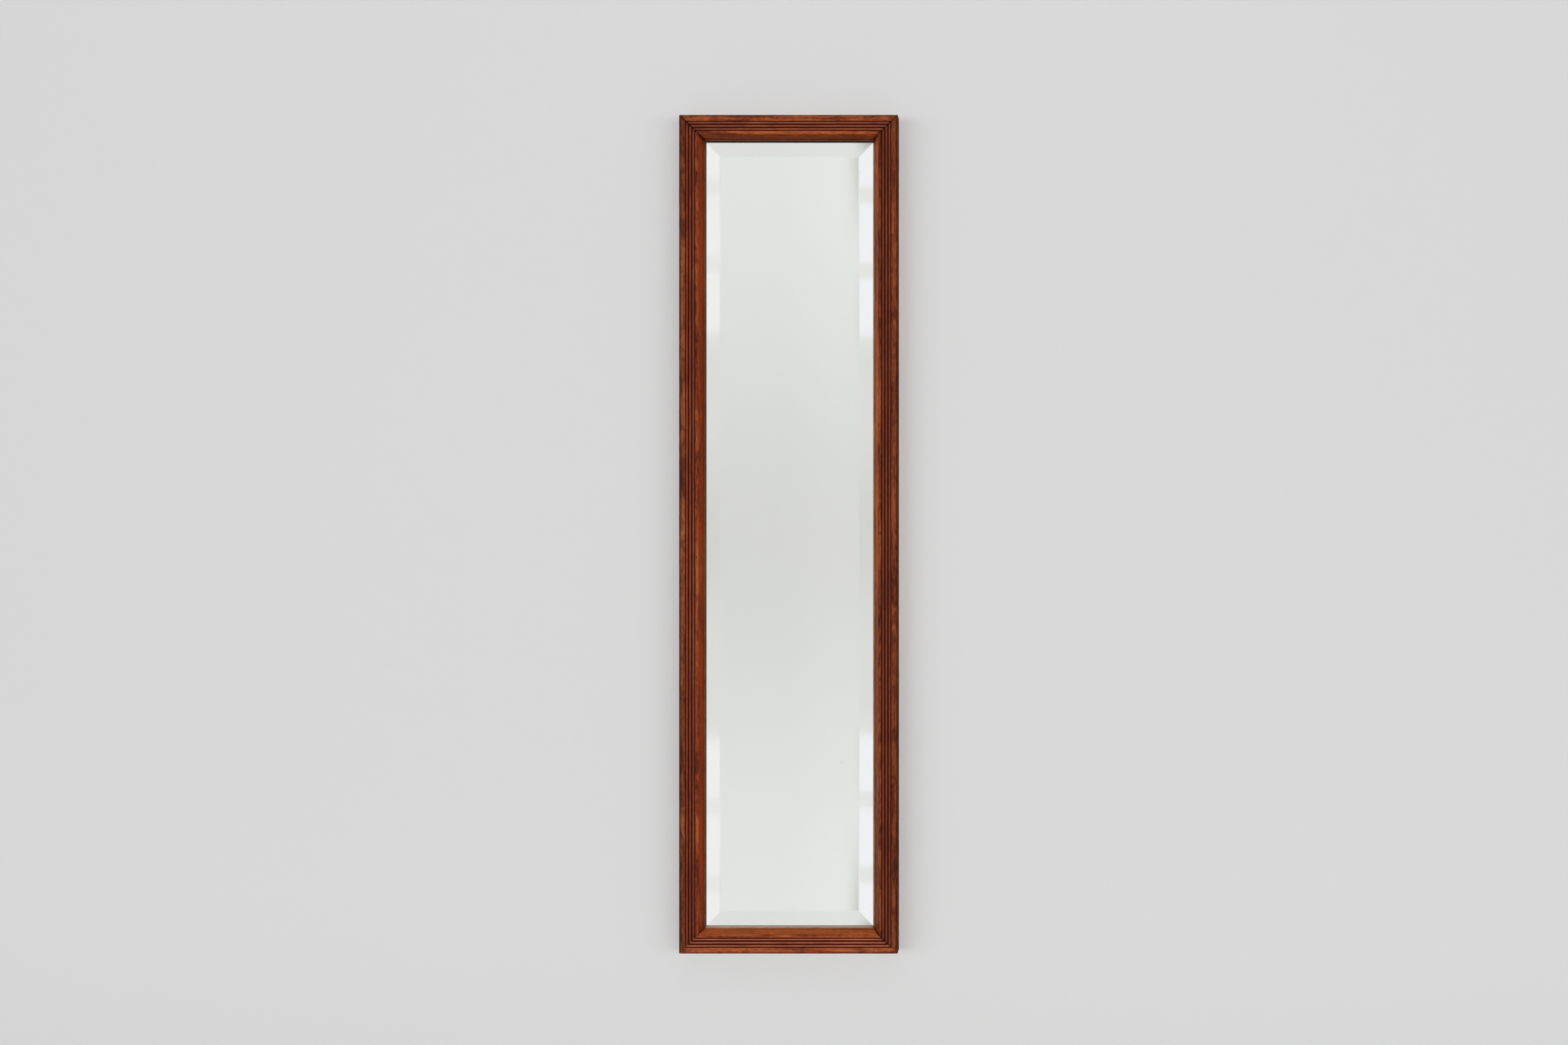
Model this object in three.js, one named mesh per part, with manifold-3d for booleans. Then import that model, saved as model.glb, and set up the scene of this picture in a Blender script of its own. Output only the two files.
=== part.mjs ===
// A tall, narrow wall mirror: a bevelled plate in a mitred oak frame with three reeds on its face.
// Wedge blocks hold the plate in the rebate, pine boards close the back, and two straps with loose
// rings hang it on wall hooks.
//
// Millimetres, +Z up. The mirror faces -Y. The origin lies in the plane of the wall, midway between
// the two points where the wall hooks carry the rings.

import * as THREE from 'three';
import { mergeVertices } from 'three/addons/utils/BufferGeometryUtils.js';
import Module from 'manifold-3d';

// ---------------------------------------------------------------- driving dimensions

// Frame, edge to edge, and how far the hooks lie below its top edge.
const frameWidth = 370;
const frameHeight = 1420;
const hookDrop = 220;

// Face of the moulding, from its outer edge inwards.
const outerArris = 3.5; // radius of the worn outer edge
const outerBand = 10.6; // flat band outside the reeds
const reedCount = 3;
const reedPitch = 5.4; // one reed and the quirk beside it
const quirkWidth = 0.8; // flat bottom of each groove
const quirkArris = 0.6; // radius where a flat band drops into a groove
const shoulderWidth = 5.6; // flat band inside the reeds
const slopeWidth = 6.3; // steep canted face that leads down to the glass
const slopeDrop = 16.5;
const lipStep = 0.6; // small step at the foot of the slope
const lipWidth = 3.2;
const lipThickness = 3.5; // from the lip's face to the rebate
const noseRadius = 1.5; // rounded sight edge
const mitreGap = 0.3; // joint between two rails, measured along a rail
const openMitreGap = 1.2; // the top left joint, which has opened with age

// Mirror plate: flat glass with a wide bevel ground on its front.
const plateThickness = 6;
const plateEdge = 3; // glass left at the rim
const bevelWidth = 30.5;
const plateCover = 6; // how far the lip laps over the plate
const silverThickness = 0.3; // silvering with its backing paint
const silverInset = 1; // clear rim round the silvering
const coatGap = 0.05;

// Wedge blocks, glued between the plate's edge and the rebate.
const wedgeGap = 2.5; // room between the plate's edge and the rebate
const wedgeNose = 1.2; // width of a block at its thin front end
const wedgeLength = 60;
const wedgesPerStile = 4;
const wedgesPerRail = 2;
const wedgeInset = 75; // from the end of the plate to the middle of the first block

// Back boards, and the brads that keep them in.
const boardNames = ['lower', 'middle', 'upper'];
const boardThickness = 4.5;
const boardRecess = 4.5; // from the back of the frame to the back of the boards
const boardAir = 3.3; // air between the boards and the silvering
const boardSideGap = 0.5;
const boardJoint = 0.6; // open joint between two boards
const bradRadius = 0.7;
const bradHead = 1.1; // radius of the head
const bradHeadThickness = 0.7;
const bradDriven = 11; // length in the wood
const bradProud = 9; // length that lies over the board
const bradPoint = 2.2;
const bradInset = 70; // from a board's corner to the brad

// Feather keys across the outer corners.
const keyLeg = 40; // along each outer edge
const keyThickness = 2;
const keyHeight = 8; // from the back of the frame
const glueGap = 0.2;

// Strap hangers with D rings.
const strapMetal = 1; // one layer of the folded strap
const strapWidth = 16;
const strapScrewSpacing = 18;
const strapEndMargin = 8; // from the lower screw to the rounded end
const foldAngle = 30; // degrees round the loop where the outer layer turns down to the strap
const wireRadius = 1.5;
const ringClearance = 0.3; // round the ring's bar in the strap's loop
const ringHalfWidth = 12.5; // to the middle of the wire
const ringCorner = 2.5; // radius of its lower corners
const ringArm = 2.5; // straight part of each side
const buttGap = 0.4; // where the ends of the ring's wire meet
const screwShank = 1.7;
const screwHead = 3.3;
const screwHeadHeight = 2;
const screwLength = 14; // under the head
const screwPoint = 5;
const slotWidth = 0.8;
const slotDepth = 0.9;

// Clearance where one piece rests on, or is driven into, another, and how far a cutting shape runs
// past the face that it opens.
const seatGap = 0.3;
const overcut = 1;

// Steps on each curve.
const arcSteps = 4; // half the steps of an arc in a section or outline
const roundSides = 12; // screws and their holes
const bradSides = 8;
const wireSides = 12;
const ringSteps = 48;

// ---------------------------------------------------------------- worked out from them

// Across the moulding, from its outer edge.
const reedRadius = (reedPitch - quirkWidth) / 2;
const shoulderStart = outerBand + reedCount * reedPitch + quirkWidth;
const slopeStart = shoulderStart + shoulderWidth;
const slopeEnd = slopeStart + slopeWidth;
const mouldingWidth = slopeEnd + lipWidth;
const plateRim = mouldingWidth - plateCover;
const rebateWall = plateRim - wedgeGap;

// Through the moulding, from the back of the frame. A brad's axis lies where its head clears the board.
const bradHeight = boardRecess - seatGap - bradHead;
const boardFront = boardRecess + boardThickness;
const silverFront = boardFront + boardAir + silverThickness;
const plateBack = silverFront + coatGap;
const bevelRise = plateThickness - plateEdge;
const lipSeat = plateBack + plateEdge + (bevelRise * plateCover) / bevelWidth + seatGap;
const lipFace = lipSeat + lipThickness;
const slopeFoot = lipFace + lipStep;
const mouldingThickness = slopeFoot + slopeDrop;

// Plate and boards.
const plateWidth = frameWidth - 2 * plateRim;
const plateHeight = frameHeight - 2 * plateRim;
const boardWidth = frameWidth - 2 * (rebateWall + boardSideGap);
const boardsHeight = frameHeight - 2 * (rebateWall + boardSideGap);
const boardHeight = (boardsHeight - (boardNames.length - 1) * boardJoint) / boardNames.length;

// Hangers: the strap's loop touches the wall, and the ring leans back on the stile.
const strapThickness = 2 * strapMetal;
const boreRadius = wireRadius + ringClearance;
const loopRadius = boreRadius + strapMetal;
const ringReach = ringCorner + ringArm + ringHalfWidth;
const ringLean = Math.asin((loopRadius - wireRadius - seatGap) / ringReach);
const barDrop = (ringReach - wireRadius) * Math.cos(ringLean);
const upperScrewDrop = (loopRadius + ringReach - wireRadius) / 2;
const screwDrops = [upperScrewDrop, upperScrewDrop + strapScrewSpacing];
const strapLength = screwDrops[1] + strapEndMargin;
const hangerOffset = frameWidth / 2 - rebateWall / 2;

// The middle of the back of the frame.
const frameCentre = new THREE.Vector3(0, -2 * loopRadius, hookDrop - frameHeight / 2);

const wasm = await Module();
wasm.setup();

// ---------------------------------------------------------------- finishes

const oak = () => new THREE.MeshStandardMaterial({ color: 0x7f4225, roughness: 0.42, metalness: 0 });
const pine = () => new THREE.MeshStandardMaterial({ color: 0xb48a5a, roughness: 0.8, metalness: 0 });
const glass = () => new THREE.MeshStandardMaterial({ color: 0xdfe8e2, roughness: 0.02, metalness: 0 });
const silver = () => new THREE.MeshStandardMaterial({ color: 0xe6e8e4, roughness: 0.03, metalness: 1 });
const steel = () => new THREE.MeshStandardMaterial({ color: 0x8f8a80, roughness: 0.45, metalness: 0.9 });

// ---------------------------------------------------------------- solids and geometries

// The solid that a closed geometry encloses.
function solidOf(geometry) {
  const bare = geometry.clone();
  bare.deleteAttribute('normal');
  bare.deleteAttribute('uv');
  const merged = mergeVertices(bare, 1e-4);
  const vertProperties = merged.attributes.position.array;
  const triVerts = new Uint32Array(merged.index.array);
  return new wasm.Manifold(new wasm.Mesh({ numProp: 3, vertProperties, triVerts }));
}

// A solid's geometry, with flat faces.
function geometryOf(solid) {
  const { vertProperties, triVerts } = solid.getMesh();
  const indexed = new THREE.BufferGeometry();
  indexed.setAttribute('position', new THREE.BufferAttribute(vertProperties, 3));
  indexed.setIndex(new THREE.BufferAttribute(triVerts, 1));
  const flat = indexed.toNonIndexed();
  flat.computeVertexNormals();
  return flat;
}

function addPiece(parent, name, geometry, material) {
  const mesh = new THREE.Mesh(geometry, material);
  mesh.name = name;
  parent.add(mesh);
  return mesh;
}

// Each side of the frame is drawn in its own space: X along the side, Z outwards from the frame's
// edge, and Y as in the world, from the back of the frame. This carries a section, drawn as distance
// in from the edge and height off the back, along the side; halfLength gives its reach at a distance
// in, towards the end -1 or 1, so that an end can be mitred.
function alongSide(section, halfLength) {
  const options = { depth: 1, bevelEnabled: false, curveSegments: arcSteps };
  const geometry = new THREE.ExtrudeGeometry(section, options);
  const position = geometry.attributes.position;
  for (let i = 0; i < position.count; i++) {
    const inwards = position.getX(i);
    const height = position.getY(i);
    const end = 1 - 2 * position.getZ(i);
    position.setXYZ(i, end * halfLength(inwards, end), -height, -inwards);
  }
  geometry.computeVertexNormals();
  return geometry;
}

// ---------------------------------------------------------------- frame

// Section of the moulding. The quarter rounds run clockwise, from the outer edge to the glass.
function mouldingSection() {
  const section = new THREE.Shape();
  const face = mouldingThickness;
  const grooveBottom = face - reedRadius;
  section.moveTo(0, 0);
  section.lineTo(0, face - outerArris);
  section.absarc(outerArris, face - outerArris, outerArris, Math.PI, Math.PI / 2, true);
  section.lineTo(outerBand - quirkArris, face);
  section.absarc(outerBand - quirkArris, face - quirkArris, quirkArris, Math.PI / 2, 0, true);
  section.lineTo(outerBand, grooveBottom);
  for (let i = 0; i < reedCount; i++) {
    const reedStart = outerBand + i * reedPitch + quirkWidth;
    section.lineTo(reedStart, grooveBottom);
    section.absarc(reedStart + reedRadius, grooveBottom, reedRadius, Math.PI, 0, true);
  }
  section.lineTo(shoulderStart, grooveBottom);
  section.lineTo(shoulderStart, face - quirkArris);
  section.absarc(shoulderStart + quirkArris, face - quirkArris, quirkArris, Math.PI, Math.PI / 2, true);
  section.lineTo(slopeStart, face);
  section.lineTo(slopeEnd, slopeFoot);
  section.lineTo(slopeEnd, lipFace);
  section.lineTo(mouldingWidth - noseRadius, lipFace);
  section.absarc(mouldingWidth - noseRadius, lipFace - noseRadius, noseRadius, Math.PI / 2, 0, true);
  section.lineTo(mouldingWidth, lipSeat);
  section.lineTo(rebateWall, lipSeat);
  section.lineTo(rebateWall, 0);
  section.closePath();
  return section;
}

// A right-angled slip that fills the outer corner at one end of a side; overhang carries it past
// the frame's edges.
function cornerSlip(end, halfSide, leg, overhang, thickness) {
  const plan = new THREE.Shape();
  plan.moveTo(end * (halfSide + overhang), overhang);
  plan.lineTo(end * (halfSide - leg - overhang), overhang);
  plan.lineTo(end * (halfSide + overhang), -leg - overhang);
  plan.closePath();
  const geometry = new THREE.ExtrudeGeometry(plan, { depth: thickness, bevelEnabled: false });
  geometry.rotateX(Math.PI / 2);
  return geometry;
}

// The saw kerf that takes a key.
function keyKerf(end, halfSide) {
  const leg = keyLeg + glueGap * Math.SQRT2;
  const kerf = cornerSlip(end, halfSide, leg, overcut, keyThickness + 2 * glueGap);
  kerf.translate(0, -keyHeight + glueGap, 0);
  return solidOf(kerf);
}

// The hole that a brad makes, from the rebate wall into the rail.
function bradHole(along) {
  const radius = bradRadius + seatGap;
  const depth = bradDriven + seatGap + overcut;
  const hole = new THREE.CylinderGeometry(radius, radius, depth, bradSides);
  hole.rotateX(Math.PI / 2);
  hole.translate(along, -bradHeight, -rebateWall + depth / 2 - overcut);
  return solidOf(hole);
}

// The hole that a hanger screw makes in the back of a stile.
function screwHole(point) {
  const radius = screwShank + seatGap;
  const depth = screwLength - strapThickness + seatGap + overcut;
  const hole = new THREE.CylinderGeometry(radius, radius, depth, roundSides);
  hole.translate(point.x, overcut - depth / 2, point.z);
  return solidOf(hole);
}

function railGeometry(side, screwPlaces) {
  const gapAt = (end) => (end < 0 ? side.nearGap : side.farGap);
  const bare = alongSide(mouldingSection(), (inwards, end) => (side.length - gapAt(end)) / 2 - inwards);
  const cuts = [-1, 1].map((end) => keyKerf(end, side.length / 2));
  cuts.push(...side.brads.map(bradHole));
  cuts.push(...screwPlaces.map(screwHole));
  return geometryOf(cuts.reduce((rail, cut) => rail.subtract(cut), solidOf(bare)));
}

// ---------------------------------------------------------------- wedge blocks and brads

// A block is thin at the lip and thickens towards the boards, so that its face bears on the plate's
// rear edge.
function wedgeGeometry() {
  const taper = (wedgeGap - seatGap - wedgeNose) / (lipSeat - plateBack);
  const heel = wedgeNose + taper * (lipSeat - boardFront);
  const section = new THREE.Shape();
  section.moveTo(rebateWall, lipSeat);
  section.lineTo(rebateWall + wedgeNose, lipSeat);
  section.lineTo(rebateWall + heel, boardFront);
  section.lineTo(rebateWall, boardFront);
  section.closePath();
  return alongSide(section, () => wedgeLength / 2);
}

// A brad lies along Z with its point outwards, in the rail, and its head over the board.
function bradGeometry() {
  const headStart = -(bradProud - bradHeadThickness);
  const profile = [
    [0, -bradProud],
    [bradHead, -bradProud],
    [bradHead, headStart],
    [bradRadius, headStart],
    [bradRadius, bradDriven - bradPoint],
    [0, bradDriven],
  ];
  const points = profile.map(([radius, along]) => new THREE.Vector2(radius, along));
  const geometry = new THREE.LatheGeometry(points, bradSides);
  geometry.rotateX(Math.PI / 2);
  geometry.translate(0, -bradHeight, -rebateWall);
  return geometry;
}

// Places for a row of pieces, evenly spaced between two ends.
function spread(count, reach) {
  return Array.from({ length: count }, (_, i) => reach * ((2 * i) / (count - 1) - 1));
}

// ---------------------------------------------------------------- the four sides

// Builds one side: its rail, the wedge blocks and brads along it, and the key at its far end.
function addSide(mirror, side, screwPoints) {
  const group = new THREE.Group();
  const outwards = new THREE.Vector3(Math.sin(side.turn), 0, Math.cos(side.turn));
  group.position.copy(frameCentre).addScaledVector(outwards, side.distance);
  group.rotation.y = side.turn;
  group.updateMatrixWorld();
  mirror.add(group);

  const screwPlaces = screwPoints.map((point) => group.worldToLocal(point.clone()));
  addPiece(group, side.rail, railGeometry(side, screwPlaces), oak());

  const key = cornerSlip(1, side.length / 2, keyLeg, 0, keyThickness);
  key.translate(0, -keyHeight, 0);
  addPiece(group, `corner_key_${side.corner}`, key, oak());

  const wedgeReach = side.length / 2 - plateRim - wedgeInset;
  spread(side.wedges, wedgeReach).forEach((along, i) => {
    const wedge = addPiece(group, `wedge_block_${side.name}_${i + 1}`, wedgeGeometry(), pine());
    wedge.position.x = along;
  });

  side.brads.forEach((along, i) => {
    const brad = addPiece(group, `brad_${side.name}_${i + 1}`, bradGeometry(), steel());
    brad.position.x = along;
  });
}

// ---------------------------------------------------------------- mirror plate

// A closed shape through rectangles that lie one in front of the other.
function stackedRectangles(levels) {
  const corners = [
    [-1, -1],
    [1, -1],
    [1, 1],
    [-1, 1],
  ];
  const vertices = [];
  levels.forEach(({ width, height, y }) => {
    corners.forEach(([x, z]) => vertices.push((x * width) / 2, y, (z * height) / 2));
  });
  const indices = [0, 1, 2, 0, 2, 3].reverse();
  for (let level = 0; level < levels.length - 1; level++) {
    for (let i = 0; i < 4; i++) {
      const a = 4 * level + i;
      const b = 4 * level + ((i + 1) % 4);
      indices.push(a, b, a + 4, b, b + 4, a + 4);
    }
  }
  const last = 4 * (levels.length - 1);
  indices.push(last, last + 1, last + 2, last, last + 2, last + 3);
  const indexed = new THREE.BufferGeometry();
  indexed.setAttribute('position', new THREE.Float32BufferAttribute(vertices, 3));
  indexed.setIndex(indices);
  const flat = indexed.toNonIndexed();
  flat.computeVertexNormals();
  return flat;
}

function plateGeometry() {
  return stackedRectangles([
    { width: plateWidth, height: plateHeight, y: -plateBack },
    { width: plateWidth, height: plateHeight, y: -plateBack - plateEdge },
    {
      width: plateWidth - 2 * bevelWidth,
      height: plateHeight - 2 * bevelWidth,
      y: -plateBack - plateThickness,
    },
  ]);
}

function silverGeometry() {
  const width = plateWidth - 2 * silverInset;
  const height = plateHeight - 2 * silverInset;
  const coat = new THREE.BoxGeometry(width, silverThickness, height);
  coat.translate(0, -silverFront + silverThickness / 2, 0);
  return coat;
}

function addPlateAndBoards(mirror) {
  const group = new THREE.Group();
  group.position.copy(frameCentre);
  mirror.add(group);
  addPiece(group, 'mirror_plate', plateGeometry(), glass());
  addPiece(group, 'silvering', silverGeometry(), silver());
  boardNames.forEach((name, i) => {
    const geometry = new THREE.BoxGeometry(boardWidth, boardThickness, boardHeight);
    const board = addPiece(group, `backboard_${name}`, geometry, pine());
    board.position.set(0, -boardRecess - boardThickness / 2, boardCentres[i]);
  });
}

// ---------------------------------------------------------------- hangers

// A hanger is drawn about the axis of its ring's bar: +Y towards the wall, the strap running down.

// Side view of the folded strap: distance below the bar against height off the wood.
function strapSection() {
  const fold = THREE.MathUtils.degToRad(foldAngle);
  const leaves = new THREE.Vector2(Math.cos(fold), 1 + Math.sin(fold)).multiplyScalar(loopRadius);
  const foldEnd = leaves.x + (leaves.y - strapThickness) * Math.tan(fold);
  const section = new THREE.Shape();
  section.moveTo(strapLength, 0);
  section.lineTo(0, 0);
  section.absarc(0, loopRadius, loopRadius, -Math.PI / 2, fold, true);
  section.lineTo(foldEnd, strapThickness);
  section.lineTo(strapLength, strapThickness);
  section.closePath();
  const bore = new THREE.Path();
  bore.absarc(0, loopRadius, boreRadius, 0, 2 * Math.PI, false);
  section.holes.push(bore);
  return section;
}

// Front view of the strap, with its rounded lower end.
function strapOutline() {
  const half = strapWidth / 2;
  const roundCentre = -(strapLength - half);
  const outline = new THREE.Shape();
  outline.moveTo(half, loopRadius + overcut);
  outline.lineTo(-half, loopRadius + overcut);
  outline.lineTo(-half, roundCentre);
  outline.absarc(0, roundCentre, half, Math.PI, 2 * Math.PI, false);
  outline.closePath();
  return outline;
}

function strapGeometry() {
  const folded = new THREE.ExtrudeGeometry(strapSection(), {
    depth: strapWidth,
    bevelEnabled: false,
    curveSegments: 2 * arcSteps,
  });
  folded.rotateY(Math.PI / 2);
  folded.translate(-strapWidth / 2, -loopRadius, 0);
  const through = 2 * (loopRadius + overcut);
  const blank = new THREE.ExtrudeGeometry(strapOutline(), {
    depth: through,
    bevelEnabled: false,
    curveSegments: arcSteps,
  });
  blank.rotateX(Math.PI / 2);
  blank.translate(0, through / 2, 0);
  const holes = screwDrops.map((drop) => {
    const radius = screwShank + seatGap;
    const hole = new THREE.CylinderGeometry(radius, radius, through, roundSides);
    hole.translate(0, 0, -drop);
    return solidOf(hole);
  });
  const strap = solidOf(folded).intersect(solidOf(blank));
  return geometryOf(holes.reduce((left, hole) => left.subtract(hole), strap));
}

// A D ring bent from round wire, standing up from its bar. The wire's two ends butt together in the
// middle of the bar, inside the strap's loop.
function ringGeometry() {
  const outline = new THREE.Path();
  const barEnd = ringHalfWidth - ringCorner;
  const archFoot = ringCorner + ringArm;
  outline.moveTo(buttGap / 2, 0);
  outline.lineTo(barEnd, 0);
  outline.absarc(barEnd, ringCorner, ringCorner, -Math.PI / 2, 0, false);
  outline.lineTo(ringHalfWidth, archFoot);
  outline.absarc(0, archFoot, ringHalfWidth, 0, Math.PI, false);
  outline.lineTo(-ringHalfWidth, ringCorner);
  outline.absarc(-barEnd, ringCorner, ringCorner, Math.PI, 1.5 * Math.PI, false);
  outline.lineTo(-buttGap / 2, 0);
  const points = outline.getSpacedPoints(ringSteps).map((p) => new THREE.Vector3(p.x, 0, p.y));
  const wire = new THREE.Shape();
  wire.absarc(0, 0, wireRadius, 0, 2 * Math.PI, false);
  return new THREE.ExtrudeGeometry(wire, {
    steps: ringSteps,
    curveSegments: wireSides / 2,
    bevelEnabled: false,
    extrudePath: new THREE.CatmullRomCurve3(points),
  });
}

// A slotted round-head wood screw, its head towards the wall and its seat at Y 0.
function screwGeometry() {
  const points = [new THREE.Vector2(0, -screwLength)];
  points.push(new THREE.Vector2(screwShank, -screwLength + screwPoint));
  points.push(new THREE.Vector2(screwShank, 0));
  for (let i = 0; i <= arcSteps; i++) {
    const turn = (i / arcSteps) * (Math.PI / 2);
    points.push(new THREE.Vector2(screwHead * Math.cos(turn), screwHeadHeight * Math.sin(turn)));
  }
  points[points.length - 1].x = 0;
  const blank = new THREE.LatheGeometry(points, roundSides);
  const slot = new THREE.BoxGeometry(2 * (screwHead + overcut), 2 * slotDepth, slotWidth);
  slot.translate(0, screwHeadHeight, 0);
  return geometryOf(solidOf(blank).subtract(solidOf(slot)));
}

function addHanger(mirror, name, x) {
  const group = new THREE.Group();
  group.position.set(x, frameCentre.y + loopRadius, -barDrop);
  mirror.add(group);
  addPiece(group, `hanger_strap_${name}`, strapGeometry(), steel());
  const ring = addPiece(group, `hanger_ring_${name}`, ringGeometry(), steel());
  ring.rotation.x = ringLean;
  screwDrops.forEach((drop, i) => {
    const level = ['upper', 'lower'][i];
    const screw = addPiece(group, `hanger_screw_${level}_${name}`, screwGeometry(), steel());
    screw.position.set(0, strapThickness - loopRadius, -drop);
  });
}

// ---------------------------------------------------------------- assembly

// Middles of the boards, and of the brads that hold them, up the frame from its centre.
const boardCentres = boardNames.map((_, i) => {
  return (i - (boardNames.length - 1) / 2) * (boardHeight + boardJoint);
});
const bradPair = (reach) => [-(reach / 2 - bradInset), reach / 2 - bradInset];
const stileBrads = boardCentres.flatMap((centre) => bradPair(boardHeight).map((z) => centre + z));
const railBrads = bradPair(boardWidth);

// Each side runs from its near end, at -X in its own space, to its far end, where its corner key is.
const common = { nearGap: mitreGap, farGap: mitreGap, hanger: 0 };
const railSize = { length: frameWidth, distance: frameHeight / 2 };
const rail = { ...common, ...railSize, wedges: wedgesPerRail, brads: railBrads };
const stileSize = { length: frameHeight, distance: frameWidth / 2 };
const stile = { ...common, ...stileSize, wedges: wedgesPerStile, brads: stileBrads };
const leftStile = { ...stile, hanger: -1, farGap: openMitreGap };
const sides = [
  { ...rail, name: 'top', rail: 'top_rail', corner: 'top_right', turn: 0, nearGap: openMitreGap },
  { ...stile, name: 'right', rail: 'right_stile', corner: 'bottom_right', turn: Math.PI / 2, hanger: 1 },
  { ...rail, name: 'bottom', rail: 'bottom_rail', corner: 'bottom_left', turn: Math.PI },
  { ...leftStile, name: 'left', rail: 'left_stile', corner: 'top_left', turn: -Math.PI / 2 },
];

const mirror = new THREE.Group();
for (const side of sides) {
  const x = side.hanger * hangerOffset;
  const drops = side.hanger === 0 ? [] : screwDrops;
  const screwPoints = drops.map((drop) => new THREE.Vector3(x, frameCentre.y, -barDrop - drop));
  addSide(mirror, side, screwPoints);
}
addPlateAndBoards(mirror);
addHanger(mirror, 'left', -hangerOffset);
addHanger(mirror, 'right', hangerOffset);

export default mirror;
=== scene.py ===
import math

import bpy
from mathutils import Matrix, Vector


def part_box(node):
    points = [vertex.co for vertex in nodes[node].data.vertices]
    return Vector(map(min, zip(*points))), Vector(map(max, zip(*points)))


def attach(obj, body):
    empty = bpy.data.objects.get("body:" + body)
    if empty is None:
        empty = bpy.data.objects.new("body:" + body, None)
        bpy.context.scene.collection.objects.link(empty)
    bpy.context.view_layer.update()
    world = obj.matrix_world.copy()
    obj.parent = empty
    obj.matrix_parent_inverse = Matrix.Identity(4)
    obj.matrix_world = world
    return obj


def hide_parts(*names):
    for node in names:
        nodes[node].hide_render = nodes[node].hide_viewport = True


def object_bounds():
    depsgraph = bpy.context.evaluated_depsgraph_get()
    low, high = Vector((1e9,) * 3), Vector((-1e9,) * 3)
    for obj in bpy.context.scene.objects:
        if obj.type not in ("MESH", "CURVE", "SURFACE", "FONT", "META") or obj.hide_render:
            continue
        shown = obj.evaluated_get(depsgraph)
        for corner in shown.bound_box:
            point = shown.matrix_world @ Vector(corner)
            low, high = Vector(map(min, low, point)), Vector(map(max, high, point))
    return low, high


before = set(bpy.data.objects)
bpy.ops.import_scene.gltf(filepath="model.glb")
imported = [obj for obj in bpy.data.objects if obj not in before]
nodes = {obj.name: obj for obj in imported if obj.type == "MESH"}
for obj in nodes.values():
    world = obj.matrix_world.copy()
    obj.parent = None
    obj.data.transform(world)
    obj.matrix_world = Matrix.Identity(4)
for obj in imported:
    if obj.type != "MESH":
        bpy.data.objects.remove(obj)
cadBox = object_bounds()
print("frame loaded:", len(nodes), "nodes")


# small helpers for shaders: a value is a number, a colour or the output of another node

def setInput(tree, socket, value):
    if isinstance(value, bpy.types.NodeSocket):
        tree.links.new(value, socket)
    else:
        socket.default_value = value


def addNode(tree, kind, inputs=None, **settings):
    node = tree.nodes.new("ShaderNode" + kind)
    for name, value in settings.items():
        setattr(node, name, value)
    for name, value in (inputs or {}).items():
        setInput(tree, node.inputs[name], value)
    return node


def calc(tree, operation, first, second=0.0, third=0.0):
    return addNode(tree, "Math", {0: first, 1: second, 2: third}, operation=operation).outputs[0]


def times(tree, first, second):
    return calc(tree, "MULTIPLY", first, second)


# value times factor, plus start
def scaled(tree, value, factor, start):
    return calc(tree, "MULTIPLY_ADD", value, factor, start)


# 0 below low, 1 above high, smooth between them; low may be the larger one
def ramp(tree, value, low, high):
    swapped = low > high
    inputs = {"Value": value, "From Min": min(low, high), "From Max": max(low, high)}
    if swapped:
        inputs.update({"To Min": 1.0, "To Max": 0.0})
    return addNode(tree, "MapRange", inputs, interpolation_type="SMOOTHSTEP").outputs[0]


# 1 between start and end, with soft edges
def band(tree, value, start, end, soft):
    rise = ramp(tree, value, start - soft, start + soft)
    fall = ramp(tree, value, end + soft, end - soft)
    return times(tree, rise, fall)


def blend(tree, factor, first, second, mode="MIX"):
    node = addNode(tree, "Mix", data_type="RGBA", blend_type=mode)
    setInput(tree, node.inputs[0], factor)
    setInput(tree, node.inputs[6], first)
    setInput(tree, node.inputs[7], second)
    return node.outputs[2]


def tinted(tree, colour, tint):
    return blend(tree, 1.0, colour, tint, "MULTIPLY")


def noise(tree, vector, scale, detail=2.0, roughness=0.5, distortion=0.0):
    inputs = {"Vector": vector, "Scale": scale, "Detail": detail}
    inputs.update({"Roughness": roughness, "Distortion": distortion})
    return addNode(tree, "TexNoise", inputs).outputs["Fac"]


# moves and stretches the object's own coordinates, so that no two pieces share a figure
def placed(tree, offset, stretch=(1, 1, 1)):
    position = addNode(tree, "TexCoord").outputs["Object"]
    inputs = {"Vector": position, "Location": offset, "Scale": stretch}
    return addNode(tree, "Mapping", inputs).outputs[0]


def grey(tree, value):
    return addNode(tree, "CombineXYZ", {0: value, 1: value, 2: value}).outputs[0]


def colourOf(values):
    return (*values, 1.0)


# a colour as it should show, from 0 to 255, as the shader's own linear colour
def tone(*shown):
    linear = []
    for c in shown:
        share = c / 255
        linear.append(((share + 0.055) / 1.055) ** 2.4 if c > 10 else share / 12.92)
    return colourOf(linear)


def newMaterial(name):
    material = bpy.data.materials.new(name)
    material.use_nodes = True
    tree = material.node_tree
    tree.nodes.clear()
    shader = tree.nodes.new("ShaderNodeBsdfPrincipled")
    output = tree.nodes.new("ShaderNodeOutputMaterial")
    tree.links.new(shader.outputs[0], output.inputs["Surface"])
    return material, tree, shader


# shows another shader in place of a material's own, by a factor
def mixInto(tree, shader, factor, other):
    mixed = addNode(tree, "MixShader", {0: factor, 1: shader.outputs[0], 2: other.outputs[0]})
    output = next(n for n in tree.nodes if n.type == "OUTPUT_MATERIAL")
    tree.links.new(mixed.outputs[0], output.inputs["Surface"])


def roughened(tree, shader, height, strength, distance):
    bump = addNode(tree, "Bump", {"Height": height, "Strength": strength, "Distance": distance})
    setInput(tree, shader.inputs["Normal"], bump.outputs[0])


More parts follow.
